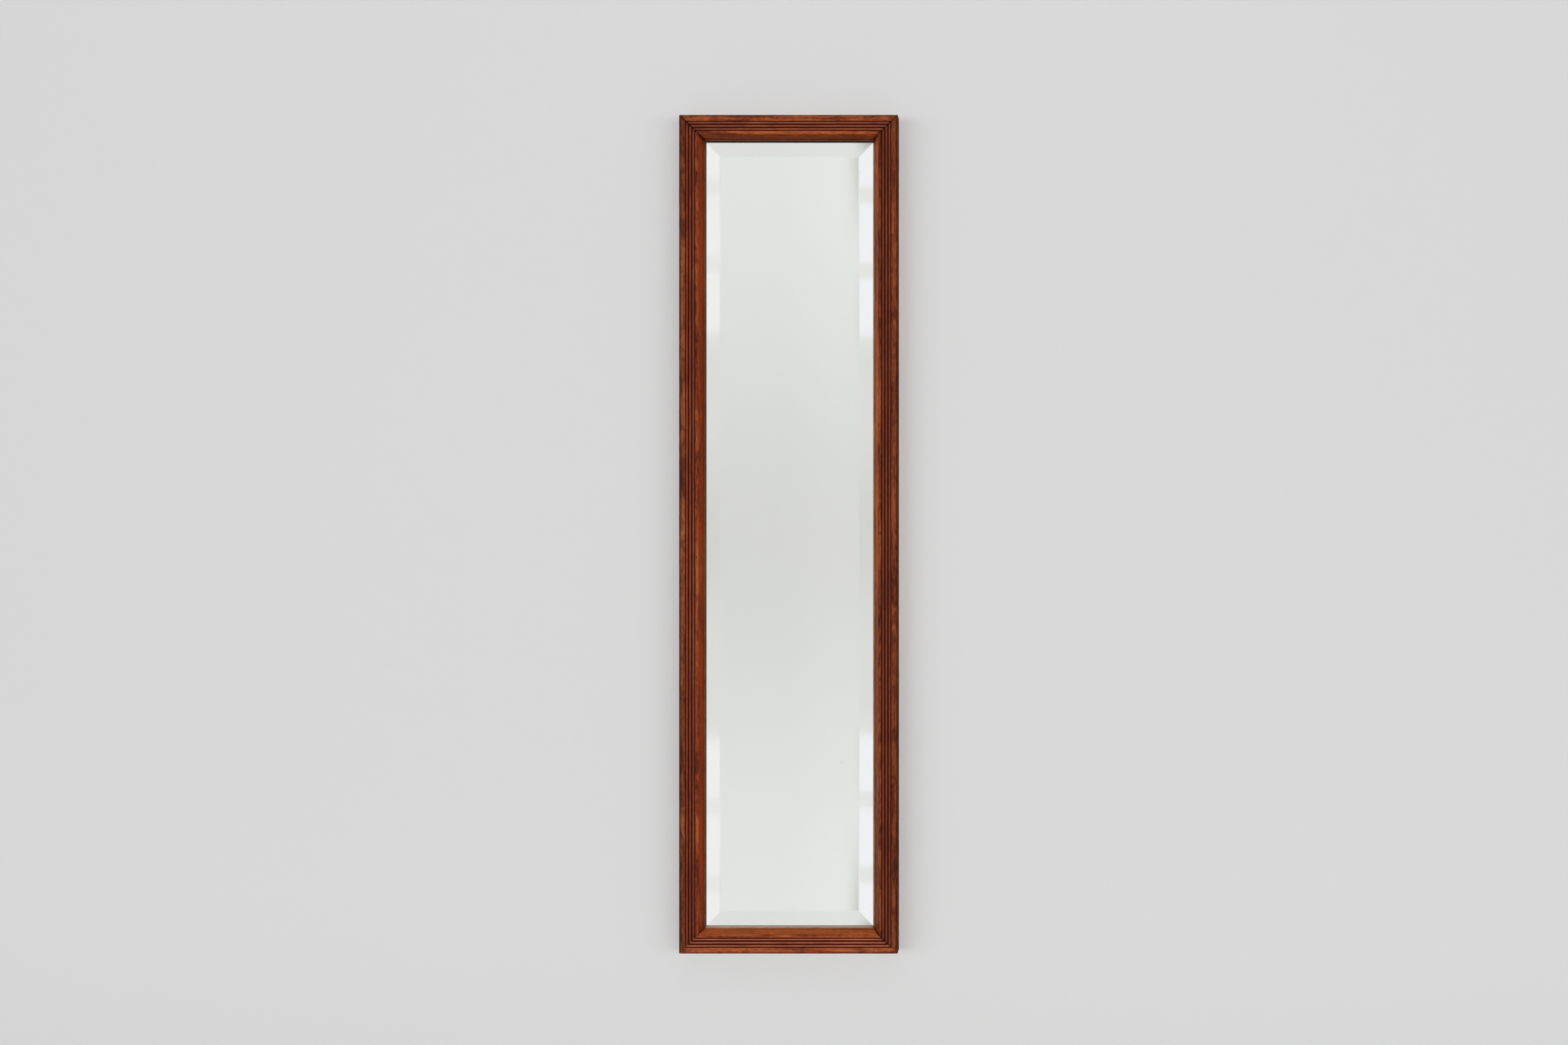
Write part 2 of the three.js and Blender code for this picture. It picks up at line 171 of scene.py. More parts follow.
def dress(obj, material):
    obj.data.materials.clear()
    obj.data.materials.append(material)


# camera: level and square to the wall, standing a little to the right of the mirror

cameraPlace = {
    "pixels": (2048, 1365),
    "pixelSize": 0.001295,  # one pixel of the picture on the mirror's face
    "centrePixel": (1029.5, 697.9),  # the middle of the mirror in the picture
    "distance": 3.1,  # from the face
    "toTheRight": 0.382,  # of the middle of the mirror
    "sensor": 36.0,
}


def addCamera():
    place = cameraPlace
    low, high = cadBox
    middle = (low + high) / 2
    wide, tall = place["pixels"]
    pictureWidth = wide * place["pixelSize"]
    aimX = middle.x + (wide / 2 - place["centrePixel"][0]) * place["pixelSize"]
    aimZ = middle.z - (tall / 2 - place["centrePixel"][1]) * place["pixelSize"]
    camera = bpy.data.cameras.new("camera")
    camera.sensor_width = place["sensor"]
    camera.lens = place["sensor"] * place["distance"] / pictureWidth
    camera.shift_x = (aimX - middle.x - place["toTheRight"]) / pictureWidth
    viewer = bpy.data.objects.new("camera", camera)
    viewer.location = (middle.x + place["toTheRight"], low.y - place["distance"], aimZ)
    viewer.rotation_euler = (math.radians(90), 0, 0)
    bpy.context.scene.collection.objects.link(viewer)
    bpy.context.scene.camera = viewer


addCamera()
bpy.context.scene.view_settings.view_transform = "Standard"
print("camera set")


# stage: a pale wall behind the mirror and a pale floor below it

stagePlace = {
    "wallSize": (9.0, 6.0),
    "wallGap": 0.0005,  # behind the hangers
    "wallTone": tone(217, 217, 217),
    "floorSize": (9.0, 9.0),
    "floorDrop": 0.3,  # below the mirror
    "floorTone": tone(214, 214, 213),
    "floorEvenness": 0.6,  # share of its tone that the camera sees as written
    "darkest": 0.985,  # tone of the darker places in the paint, as a share
    "cloudScale": 1.3,
    "stippleScale": 260,
}


def addPlane(name, location, rotation, size):
    bpy.ops.object.select_all(action="DESELECT")
    bpy.ops.mesh.primitive_plane_add(size=1, location=location, rotation=rotation)
    plane = bpy.context.object
    plane.name = name
    plane.scale = (size[0], size[1], 1)
    bpy.ops.object.transform_apply(location=True, rotation=True, scale=True)
    return plane


def paintedSurface(name, colour):
    place = stagePlace
    material, tree, shader = newMaterial(name)
    position = placed(tree, (3, 1, 2))
    broad = noise(tree, position, place["cloudScale"], 3)
    fine = noise(tree, position, place["stippleScale"], 2)
    darker = colourOf(c * place["darkest"] for c in colour[:3])
    setInput(tree, shader.inputs["Base Color"], blend(tree, broad, darker, colour))
    shader.inputs["Roughness"].default_value = 0.9
    shader.inputs["Specular IOR Level"].default_value = 0.0
    roughened(tree, shader, fine, 0.03, 0.0005)
    return material, tree, shader


def hideFrom(obj, rays):
    for ray in rays:
        setattr(obj, "visible_" + ray, False)


def addWall():
    place = stagePlace
    low, high = cadBox
    lift = low.z - place["floorDrop"] + place["wallSize"][1] / 2
    location = (0, high.y + place["wallGap"], lift)
    wall = addPlane("wall", location, (math.radians(90), 0, 0), place["wallSize"])
    material, tree, shader = paintedSurface("paintedWall", place["wallTone"])
    # only the side that faces the room is solid, so that the mirror's back can be seen from behind
    behind = addNode(tree, "NewGeometry").outputs["Backfacing"]
    mixInto(tree, shader, behind, addNode(tree, "BsdfTransparent"))
    dress(wall, material)
    hideFrom(wall, ("diffuse", "glossy", "transmission", "shadow"))


def addFloor():
    place = stagePlace
    floorZ = cadBox[0].z - place["floorDrop"]
    floor = addPlane("floor", (0, 0, floorZ), (0, 0, 0), place["floorSize"])
    material, tree, shader = paintedSurface("paintedFloor", place["floorTone"])
    # keeps the floor pale and its shadow soft
    plain = addNode(tree, "Emission", {"Color": place["floorTone"], "Strength": 1.0})
    isSeen = addNode(tree, "LightPath").outputs["Is Camera Ray"]
    mixInto(tree, shader, times(tree, isSeen, place["floorEvenness"]), plain)
    dress(floor, material)
    hideFrom(floor, ("glossy", "transmission"))


addWall()
addFloor()
print("stage set")


# light: an even pale room, with soft lamps in front, at the sides, above and behind

roomLight = {
    "level": 0.174,  # of the room's own light on matt surfaces
    "overhead": 1.1,  # share of it from straight above
    "underneath": 0.9,
    "heights": (-0.9, 0.9),  # of the rays between which it changes
    "backdrop": tone(214, 214, 214),
    "lamps": {
        # name: place, size, watts
        "frontLamp": ((0.7, -11.0, -0.45), (1.6, 1.6), 400),
        "leftLamp": ((-6.6, -9.4, -0.4), (11.0, 3.0), 400),
        "rightLamp": ((6.6, -9.4, -0.4), (11.0, 3.0), 375),
        "topLamp": ((0.0, -2.2, 2.2), (2.0, 1.0), 6),
        "rearLamp": ((0.4, 2.6, 0.9), (2.0, 1.6), 60),
    },
}
# What the glass reflects, by slope: across is how far a ray leans to the right, rise how far it
# climbs, for each metre that it goes out from the wall.
roomPicture = {
    "middle": (0.749, 0.737, 0.717),
    "ends": (0.846, 0.86, 0.846),
    "endsFrom": 0.2,  # rise
    "brighter": (-0.13, -0.095, 0.03),  # from and to across, and by how much
    "lowMiddle": (0.722, 0.712, 0.69),
    "lowEnds": (0.795, 0.785, 0.765),
    "lowEndsFrom": 0.07,
    "nearPanel": (0.945, 0.94, 0.92),
    "nearBar": (0.885, 0.87, 0.865),
    "nearFrom": -0.072,  # across
    "farPanel": (0.966, 0.966, 1.0),
    "farBar": (0.865, 0.855, 0.84),
    "farTo": -0.172,
    "panelRise": (0.096, 0.118),
    "firstBar": 0.1463,
    "barPitch": 0.0417,
    "barWidth": 0.009,
    "barSoft": 0.06,  # of the pitch
    "lastBars": (0.75, 0.45),  # the bars fade from the second to the first of these
    "panelSoft": 0.004,
    "dark": (0.3, 0.3, 0.27),
    "darkAcross": (-0.094, -0.073),
    "darkRise": (0.145, 0.215),
    "darkFoot": (-0.0875, -0.0755),  # across, where the dim upright reaches further down
    "darkFootRise": (0.104, 0.142, 0.008),  # from, to and how soft
    "darkFootSoft": 0.001,
    "eyeLevel": -0.007,  # rise of the middle
    "leastOutwards": 0.08,  # keeps the slopes of flat rays within reason
    "behind": (0.46, 0.46, 0.45),  # towards the wall that the mirror hangs on
    "behindFrom": (-0.12, 0.02),
}


def panelView(tree, away, isBar, panel, bar):
    room = roomPicture
    low = ramp(tree, away, 0.0, room["lowEndsFrom"])
    wall = blend(tree, low, colourOf(room["lowMiddle"]), colourOf(room["lowEnds"]))
    panels = blend(tree, isBar, colourOf(room[panel]), colourOf(room[bar]))
    return blend(tree, ramp(tree, away, *room["panelRise"]), wall, panels)


def roomColour(tree, x, y, z):
    room = roomPicture
    outwards = calc(tree, "MAXIMUM", times(tree, y, -1.0), room["leastOutwards"])
    across = calc(tree, "DIVIDE", x, outwards)
    rise = calc(tree, "DIVIDE", z, outwards)
    away = calc(tree, "ABSOLUTE", calc(tree, "SUBTRACT", rise, room["eyeLevel"]))

    # plain in the middle, with a dim upright to the right of it
    plain = ramp(tree, away, 0.0, room["endsFrom"])
    picture = blend(tree, plain, colourOf(room["middle"]), colourOf(room["ends"]))
    start, end, share = room["brighter"]
    lift = scaled(tree, ramp(tree, across, start, end), share, 1.0)
    picture = tinted(tree, picture, grey(tree, lift))
    dim = times(tree, ramp(tree, across, *room["darkAcross"]), ramp(tree, away, *room["darkRise"]))
    start, end = room["darkFoot"]
    soft = room["darkFootSoft"]
    foot = times(tree, ramp(tree, across, start, end), ramp(tree, across, end + soft, end - soft))
    foot = times(tree, foot, band(tree, away, *room["darkFootRise"]))
    picture = blend(tree, calc(tree, "MAXIMUM", dim, foot), picture, colourOf(room["dark"]))

    # bright panels at both sides, with bars across them
    toBar = calc(tree, "DIVIDE", calc(tree, "SUBTRACT", away, room["firstBar"]), room["barPitch"])
    halfBar = room["barWidth"] / room["barPitch"] / 2
    soft = room["barSoft"]
    isBar = ramp(tree, calc(tree, "PINGPONG", toBar, 0.5), halfBar + soft, halfBar - soft)
    isBar = times(tree, isBar, ramp(tree, away, *room["lastBars"]))
    near = panelView(tree, away, isBar, "nearPanel", "nearBar")
    soft = room["panelSoft"]
    isNear = ramp(tree, across, room["nearFrom"] - soft, room["nearFrom"] + soft)
    picture = blend(tree, isNear, picture, near)
    far = panelView(tree, away, isBar, "farPanel", "farBar")
    isFar = ramp(tree, across, room["farTo"] + soft, room["farTo"] - soft)
    picture = blend(tree, isFar, picture, far)
    return blend(tree, ramp(tree, y, *room["behindFrom"]), picture, colourOf(room["behind"]))


def addWorld():
    light = roomLight
    world = bpy.data.worlds.new("paleRoom")
    bpy.context.scene.world = world
    world.use_nodes = True
    tree = world.node_tree
    tree.nodes.clear()
    direction = addNode(tree, "TexCoord").outputs["Generated"]
    x, y, z = addNode(tree, "SeparateXYZ", {0: direction}).outputs
    change = light["overhead"] - light["underneath"]
    share = scaled(tree, ramp(tree, z, *light["heights"]), change, light["underneath"])
    soft = addNode(tree, "Background", {"Color": (1, 1, 1, 1)})
    setInput(tree, soft.inputs["Strength"], times(tree, share, light["level"]))
    plainView = addNode(tree, "Background", {"Color": light["backdrop"], "Strength": 1.0})
    roomView = addNode(tree, "Background", {"Color": roomColour(tree, x, y, z), "Strength": 1.0})
    rays = addNode(tree, "LightPath").outputs
    isShiny = calc(tree, "MAXIMUM", rays["Is Glossy Ray"], rays["Is Transmission Ray"])
    lit = addNode(tree, "MixShader", {0: isShiny, 1: soft.outputs[0], 2: roomView.outputs[0]})
    isSeen = rays["Is Camera Ray"]
    seen = addNode(tree, "MixShader", {0: isSeen, 1: lit.outputs[0], 2: plainView.outputs[0]})
    output = addNode(tree, "OutputWorld")
    tree.links.new(seen.outputs[0], output.inputs["Surface"])


def addLamps():
    low, high = cadBox
    middle = (low + high) / 2
    for name, (place, size, watts) in roomLight["lamps"].items():
        lamp = bpy.data.lights.new(name, "AREA")
        lamp.shape = "RECTANGLE"
        lamp.size, lamp.size_y = size
        lamp.energy = watts
        holder = bpy.data.objects.new(name, lamp)
        holder.location = place
        holder.rotation_euler = (middle - Vector(place)).to_track_quat("-Z", "Y").to_euler()
        bpy.context.scene.collection.objects.link(holder)
        hideFrom(holder, ("camera", "glossy", "transmission"))


addWorld()
addLamps()
print("light set")


# oak frame: the moulding of each side is drawn as a section, drawn out and mitred

moulding = {
    "outerArris": 0.0035,  # radius of the worn outer edge
    "outerBand": 0.0106,
    "reedCount": 3,
    "reedPitch": 0.0054,
    "quirk": 0.0008,  # flat bottom of a groove
    "quirkArris": 0.0006,
    "shoulder": 0.0056,
    "slope": 0.0063,
    "slopeDrop": 0.0165,
    "lipStep": 0.0006,
    "lipThickness": 0.0035,
    "noseRadius": 0.0015,
    "rebate": 0.0085,  # from the sight edge back to the rebate's wall
    "arcSteps": 8,
    "softEdge": 0.00025,
    "softFrom": 32,  # degrees between two faces
    "smoothBelow": 30,
    "joint": 0.0003,  # along a rail
    "openJoint": 0.0004,  # top left, where it has opened
    "keyLeg": 0.04,
    "keySlot": (0.0078, 0.0102),  # from the back of the frame
    "keySlotReach": 0.0003,
}
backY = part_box("top_rail")[1].y
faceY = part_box("top_rail")[0].y
lowCorner = Vector((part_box("left_stile")[0].x, backY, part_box("bottom_rail")[0].z))
highCorner = Vector((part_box("right_stile")[1].x, backY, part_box("top_rail")[1].z))
frameMiddle = (lowCorner + highCorner) / 2
frameWidth = highCorner.x - lowCorner.x
frameHeight = highCorner.z - lowCorner.z

# how far in from its outer side each part of the moulding begins, and how deep the lip lies
shoulderIn = moulding["outerBand"] + moulding["reedCount"] * moulding["reedPitch"] + moulding["quirk"]
slopeIn = shoulderIn + moulding["shoulder"]
slopeEndIn = slopeIn + moulding["slope"]
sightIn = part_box("left_stile")[1].x - lowCorner.x
rebateIn = sightIn - moulding["rebate"]
lipDepth = moulding["slopeDrop"] + moulding["lipStep"]
seatDepth = lipDepth + moulding["lipThickness"]

sides = {
    # node: turn from lying along the top, length, joint at the near and at the far end
    "top_rail": {"turn": 0, "length": frameWidth, "joints": ("openJoint", "joint")},
    "right_stile": {"turn": 90, "length": frameHeight, "joints": ("joint", "joint")},
    "bottom_rail": {"turn": 180, "length": frameWidth, "joints": ("joint", "joint")},
    "left_stile": {"turn": 270, "length": frameHeight, "joints": ("joint", "openJoint")},
}


def startMesh(name):
    bpy.ops.object.select_all(action="DESELECT")
    bpy.ops.mesh.primitive_plane_add(size=0.01)
    piece = bpy.context.object
    piece.name = name
    bpy.ops.object.mode_set(mode="EDIT")
    bpy.ops.mesh.select_mode(type="VERT")
    bpy.ops.mesh.merge(type="CENTER")
    return piece


def drawTo(pen, inwards, height):
    step = (0, pen["height"] - height, pen["inwards"] - inwards)
    bpy.ops.mesh.extrude_region_move(TRANSFORM_OT_translate={"value": step})
    pen["inwards"], pen["height"] = inwards, height


# a round that runs over from the outer side towards the glass
def drawRound(pen, degrees, inwards, height, endInwards, endHeight):
    centre = (pen["along"], -height, -inwards)
    bpy.ops.mesh.spin(
        steps=max(2, round(moulding["arcSteps"] * degrees / 90)),
        angle=-math.radians(degrees),
        center=centre,
        axis=(1, 0, 0),
    )
    pen["inwards"], pen["height"] = endInwards, endHeight


def drawSection(along):
    m = moulding
    face = backY - faceY
    reed = (m["reedPitch"] - m["quirk"]) / 2
    groove = face - reed
    arris = m["quirkArris"]
    nose = m["noseRadius"]
    lipFace = face - lipDepth
    lipSeat = face - seatDepth
    bpy.ops.transform.translate(value=(along, 0, 0))
    pen = {"along": along, "inwards": 0.0, "height": 0.0}
    drawTo(pen, 0, face - m["outerArris"])
    drawRound(pen, 90, m["outerArris"], face - m["outerArris"], m["outerArris"], face)
    drawTo(pen, m["outerBand"] - arris, face)
    drawRound(pen, 90, m["outerBand"] - arris, face - arris, m["outerBand"], face - arris)
    drawTo(pen, m["outerBand"], groove)
    for i in range(m["reedCount"]):
        reedStart = m["outerBand"] + i * m["reedPitch"] + m["quirk"]
        drawTo(pen, reedStart, groove)
        drawRound(pen, 180, reedStart + reed, groove, reedStart + 2 * reed, groove)
    drawTo(pen, shoulderIn, groove)
    drawTo(pen, shoulderIn, face - arris)
    drawRound(pen, 90, shoulderIn + arris, face - arris, shoulderIn + arris, face)
    drawTo(pen, slopeIn, face)
    drawTo(pen, slopeEndIn, face - m["slopeDrop"])
    drawTo(pen, slopeEndIn, lipFace)
    drawTo(pen, sightIn - nose, lipFace)
    drawRound(pen, 90, sightIn - nose, lipFace - nose, sightIn, lipFace - nose)
    drawTo(pen, sightIn, lipSeat)
    drawTo(pen, rebateIn, lipSeat)
    drawTo(pen, rebateIn, 0)
    bpy.ops.mesh.select_all(action="SELECT")
    bpy.ops.mesh.edge_face_add()


def applyAll(piece):
    bpy.ops.object.select_all(action="DESELECT")
    piece.select_set(True)
    bpy.context.view_layer.objects.active = piece
    for modifier in list(piece.modifiers):
        bpy.ops.object.modifier_apply(modifier=modifier.name)


# a thin slip that cuts the slot for the key across an outer corner
def cutKeySlot(rail, end, halfLength):
    m = moulding
    bottom, top = m["keySlot"]
    bpy.ops.object.select_all(action="DESELECT")
    bpy.ops.mesh.primitive_cube_add(size=1)
    slip = bpy.context.object
    width = (m["keyLeg"] + m["keySlotReach"]) * math.sqrt(2)
    slip.scale = (width, top - bottom, width)
    slip.rotation_euler = (0, math.radians(45), 0)
    slip.location = (end * halfLength, -(bottom + top) / 2, 0)
    cut = rail.modifiers.new("keySlot", "BOOLEAN")
    cut.operation = "DIFFERENCE"
    cut.solver = "EXACT"
    cut.object = slip
    bpy.context.view_layer.update()
    applyAll(rail)
    bpy.data.objects.remove(slip)


def buildSide(node, side):
    half = side["length"] / 2
    rail = startMesh("oak_" + node)
    drawSection(-half)
    bpy.ops.mesh.extrude_region_move(TRANSFORM_OT_translate={"value": (side["length"], 0, 0)})
    for end, joint in zip((-1, 1), side["joints"]):
        reach = half - moulding[joint] / 2
        bpy.ops.mesh.select_all(action="SELECT")
        bpy.ops.mesh.bisect(
            plane_co=(end * reach, 0, 0), plane_no=(end, 0, -1), use_fill=True, clear_outer=True
        )
    bpy.ops.mesh.select_all(action="SELECT")
    bpy.ops.mesh.normals_make_consistent(inside=False)
    bpy.ops.object.mode_set(mode="OBJECT")
    for end in (-1, 1):
        cutKeySlot(rail, end, half)
    edge = rail.modifiers.new("softEdge", "BEVEL")
    edge.width = moulding["softEdge"]
    edge.segments = 2
    edge.limit_method = "ANGLE"
    edge.angle_limit = math.radians(moulding["softFrom"])
    edge.use_clamp_overlap = False
    applyAll(rail)
    turn = math.radians(side["turn"])
    outwards = Vector((math.sin(turn), 0, math.cos(turn)))
    across = frameHeight / 2 if side["length"] == frameWidth else frameWidth / 2
    rail.rotation_euler = (0, turn, 0)
    rail.location = frameMiddle + outwards * across
    bpy.ops.object.transform_apply(location=True, rotation=True, scale=True)
    bpy.ops.object.shade_smooth_by_angle(angle=math.radians(moulding["smoothBelow"]))
    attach(rail, "mirror")
    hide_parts(node)
    return rail


rails = {node: buildSide(node, side) for node, side in sides.items()}
for node, rail in rails.items():
    print(node, "made:", len(rail.data.polygons), "faces")


# oak finish: red-brown varnish over a lively figure, old dirt in the corners, old dirt and painted
# shade in the grooves, and painted light and shade in the tones of each side

oakLook = {
    "light": tone(191, 105, 58),
    "middle": tone(153, 74, 40),
    "dark": tone(90, 36, 18),
    "fleck": tone(61, 22, 9),
    # dark of the grooves: old dirt and painted shade
    "groove": tone(71, 12, 0),
    # dirt in the mitre joints, painted shade on the outer edge, and the dark at the foot of the slope
    "dirtAndShade": tone(30, 10, 5),
    "chip": tone(196, 160, 118),
    "bare": tone(168, 128, 86),
    "bareDark": tone(120, 86, 54),
    "grooveDepth": (0.0001, 0.0006),  # below the face
    "reedTop": (0.0007, 0.0001),
    "ringCount": 70,
    "figureShares": {"rings": 0.2, "streaks": 0.55, "short": 0.75, "broad": 0.9},
    "figureStart": -0.7,
    "toMiddle": (0.22, 0.52),  # depth of the figure
    "toLight": (0.46, 0.8),
    "stainStrength": 0.6,
    "poreStrength": 0.6,
    "grooveShare": 0.97,
    "footShare": 0.3,
    "outerFade": (0.008, 0.35),  # below the face, and the share of the dark edge (stain and painted shade) that is left
    "grimeReach": 0.012,
    "wornTip": (0.010, 0.003),
    "chipReach": (0.003, 0.0015),
    "raggedBy": 0.004,
    "rubShare": 0.6,
    "roughness": 0.4,
    "varnishShine": 0.12,
}
oakGrain = {
    # stretch along a side (smaller is longer), place, scale, detail, roughness and distortion
    "rings": (0.11, 0.0, 30, 3, 0.5, 0.9),
    "streaks": (0.05, 2.0, 480, 3, 0.6),
    "short": (0.3, 3.0, 420, 3, 0.65),
    "broad": (0.25, 5.0, 30, 3, 0.55),
    "stains": (0.6, 7.0, 62, 2.5, 0.5, 0.5),
    "pores": (0.07, 4.0, 1300, 1.5),
    "specks": (0.5, 9.0, 190, 1),
    "slopePatches": (0.5, 14.0, 9, 2),
    "chips": (1.0, 12.0, 520, 1),
    "varnishEdge": (0.3, 8.0, 90, 3, 0.6),
    "scuffs": (0.25, 4.0, 300, 3, 0.6),
    "patches": (0.4, 6.0, 150, 3, 0.6),
}
oakMarks = {
    # from which value of its noise a mark shows, and where it shows in full
    "stains": (0.54, 0.68),
    "pores": (0.55, 0.64),
    "specks": (0.735, 0.77),
    "slopePatches": (0.35, 0.6),
    "chips": (0.7, 0.74),
    "scuffs": (0.48, 0.68),
    "patches": (0.25, 0.6),
}
oakSides = {
    # where its figure is placed, how pale it is (a share that also paints the light on that side),
    # its worn reeds, its slope, its lip, its nose and how wide that shows (tones that also paint
    # that side's light and shade, near black in the shade under the top lip), how far in its dark
    # outer edge of stain and painted shade reaches, how far in it is full and how dark it is, and at
    # what heights the painted shade on its slope begins and is full, and by how much
    "left_stile": {
        "edge": "left", "ends": ("top", "bottom"), "offset": (0.3, 0.7, 1.1), "palenessAndSideLight": 0.68,
        "worn": tone(120, 67, 52), "slope": tone(152, 53, 4), "lip": tone(90, 60, 45),
        "nose": (tone(81, 52, 41), 0.0004), "outerEdgeStainAndShade": (0.0052, 0.0008, 0.9),
    },
    "right_stile": {
        "edge": "right", "ends": ("top", "bottom"), "offset": (1.9, 0.2, 2.7), "palenessAndSideLight": 0.52,
        "worn": tone(114, 66, 49), "slope": tone(204, 97, 36), "lip": tone(135, 89, 61),
        "nose": (tone(174, 140, 114), 0.0006), "outerEdgeStainAndShade": (0.0048, 0.0, 0.7),
        "slopeShadeDownwards": (-0.3, -0.8, 0.5),
    },
    "top_rail": {
        "edge": "top", "ends": ("left", "right"), "offset": (4.1, 1.3, 0.4), "palenessAndSideLight": 0.88,
        "worn": tone(124, 76, 64), "slope": tone(131, 57, 21), "lip": tone(98, 62, 49),
        "nose": (tone(12, 4, 2), 0.0017), "outerEdgeStainAndShade": (0.0032, 0.0012, 0.85),
    },
    "bottom_rail": {
        "edge": "bottom", "ends": ("left", "right"), "offset": (2.2, 3.1, 5.6), "palenessAndSideLight": 0.88,
        "worn": tone(168, 106, 82), "slope": tone(194, 99, 44), "lip": tone(155, 111, 85),
        "nose": (tone(214, 184, 160), 0.0010), "outerEdgeStainAndShade": (0.006, -0.0004, 0.8),
    },
}
mitres = {
    # corner: width of the dark line, how far in it begins, the grime beside it and the worn tip
    ("left", "top"): (0.0013, 0.0, 0.75, 0.9),
    ("right", "top"): (0.0008, 0.0, 0.85, 0.7),
    ("left", "bottom"): (0.0006, 0.031, 0.5, 0.3),
    ("right", "bottom"): (0.0009, 0.013, 0.7, 0.3),
}


def objectAxes(tree):
    position = addNode(tree, "TexCoord").outputs["Object"]
    return dict(zip("xyz", addNode(tree, "SeparateXYZ", {0: position}).outputs))


# how far a point lies from one outer edge of the frame
def fromEdge(tree, axes, edge):
    axis, sign, start = {
        "left": ("x", 1.0, -lowCorner.x),
        "right": ("x", -1.0, highCorner.x),
        "bottom": ("z", 1.0, -lowCorner.z),
        "top": ("z", -1.0, highCorner.z),
    }[edge]
    return scaled(tree, axes[axis], sign, start)


# noise that runs along a side
def grained(tree, look, name):
    share, shift, *settings = oakGrain[name]
    upright = look["edge"] in ("left", "right")
    stretch = (1, 1, share) if upright else (share, 1, 1)
    offset = tuple(v + shift for v in look["offset"])
    return noise(tree, placed(tree, offset, stretch), *settings)


def marked(tree, look, name):
    return ramp(tree, grained(tree, look, name), *oakMarks[name])


# figure of the wood: wavy rings, streaks, short flecks and stains that run across the reeds
def oakFigure(tree, look):
    waves = calc(tree, "SINE", times(tree, grained(tree, look, "rings"), oakLook["ringCount"]))
    rings = scaled(tree, waves, 0.5, 0.5)
    depth = scaled(tree, rings, oakLook["figureShares"]["rings"], oakLook["figureStart"])
    for name in ("streaks", "short", "broad"):
        depth = scaled(tree, grained(tree, look, name), oakLook["figureShares"][name], depth)
    wood = blend(tree, ramp(tree, depth, *oakLook["toMiddle"]), oakLook["dark"], oakLook["middle"])
    wood = blend(tree, ramp(tree, depth, *oakLook["toLight"]), wood, oakLook["light"])
    stains = marked(tree, look, "stains")
    wood = blend(tree, times(tree, stains, oakLook["stainStrength"]), wood, oakLook["dark"])
    # fewer pores where a ring is pale
    pores = times(tree, marked(tree, look, "pores"), scaled(tree, rings, -0.5, 0.9))
    shown = times(tree, pores, oakLook["poreStrength"])
    marks = calc(tree, "MAXIMUM", shown, marked(tree, look, "specks"))
    return blend(tree, marks, wood, oakLook["fleck"]), depth, stains, pores


# wear and painted sheen on the reed tops, the redder slope and the paler lip, whose tones also paint
# each side's light and shade, and painted light and shade on the nose
def oakRelief(tree, look, wood, axes, inwards, below, scuffs, depth):
    onReeds = band(tree, inwards, moulding["outerBand"], shoulderIn, 0.0004)
    # the paler reed tops are partly wear and partly a painted sheen
    reedTops = times(tree, onReeds, ramp(tree, below, *oakLook["reedTop"]))
    wear = times(tree, reedTops, scaled(tree, scuffs, 0.3, 0.5))
    wood = blend(tree, wear, wood, look["worn"])

    # the slope's tone for each side also paints the light and shade that fall on it
    lively = grey(tree, scaled(tree, ramp(tree, depth, 0.1, 0.9), 0.9, 0.55))
    redness = scaled(tree, marked(tree, look, "slopePatches"), 0.5, 0.5)
    slope = tinted(tree, blend(tree, redness, wood, look["slope"]), lively)
    # painted shade: the right slope grows darker towards the bottom
    if "slopeShadeDownwards" in look:
        start, end, share = look["slopeShadeDownwards"]
        slopeShadeFactor = scaled(tree, ramp(tree, axes["z"], start, end), -share, 1.0)
        slope = tinted(tree, slope, grey(tree, slopeShadeFactor))
    wood = blend(tree, ramp(tree, inwards, slopeIn - 0.0006, slopeIn + 0.0008), wood, slope)

    lip = tinted(tree, look["lip"], lively)
    wood = blend(tree, ramp(tree, inwards, slopeEndIn - 0.0002, slopeEndIn + 0.0002), wood, lip)
    # painted light and shade on the nose and under the lip: near black in the shade under the top
    # rail, pale where light falls on it at the bottom and the right
    noseLightAndShade, noseWidth = look["nose"]
    noseIn = sightIn - noseWidth
    onEdge = ramp(tree, inwards, noseIn - 0.0003, noseIn + 0.0003)
    under = ramp(tree, below, lipDepth + 0.0002, lipDepth + 0.0008)
    under = times(tree, under, ramp(tree, inwards, slopeEndIn, slopeEndIn + 0.0003))
    return blend(tree, calc(tree, "MAXIMUM", onEdge, under), wood, noseLightAndShade)


# old dirt and painted shade in the grooves, stain and painted shade on the outer edge, and darker at
# the foot of the slope
def oakShade(tree, look, wood, inwards, below, patchy):
    inGrooves = band(tree, inwards, moulding["outerBand"] - 0.0006, shoulderIn + 0.0006, 0.0003)
    # the grooves: old dirt and painted shade
    grooveDirtAndShade = times(tree, inGrooves, ramp(tree, below, *oakLook["grooveDepth"]))
    wood = blend(tree, times(tree, grooveDirtAndShade, oakLook["grooveShare"]), wood, oakLook["groove"])
    # the outer edge: stain and painted shade
    reach, full, share = look["outerEdgeStainAndShade"]
    edgeStainAndShade = times(tree, ramp(tree, inwards, reach, full), share)
    fadeDepth, least = oakLook["outerFade"]
    nearFace = ramp(tree, below, fadeDepth, moulding["outerArris"])
    edgeStainAndShade = times(tree, edgeStainAndShade, scaled(tree, nearFace, 1.0 - least, least))
    atFoot = band(tree, inwards, slopeEndIn - 0.0005, slopeEndIn + 0.0005, 0.0004)
    foot = times(tree, atFoot, oakLook["footShare"])
    dark = calc(tree, "MAXIMUM", edgeStainAndShade, foot)
    dark = times(tree, dark, scaled(tree, patchy, 0.2, 0.85))
    return blend(tree, dark, wood, oakLook["dirtAndShade"])


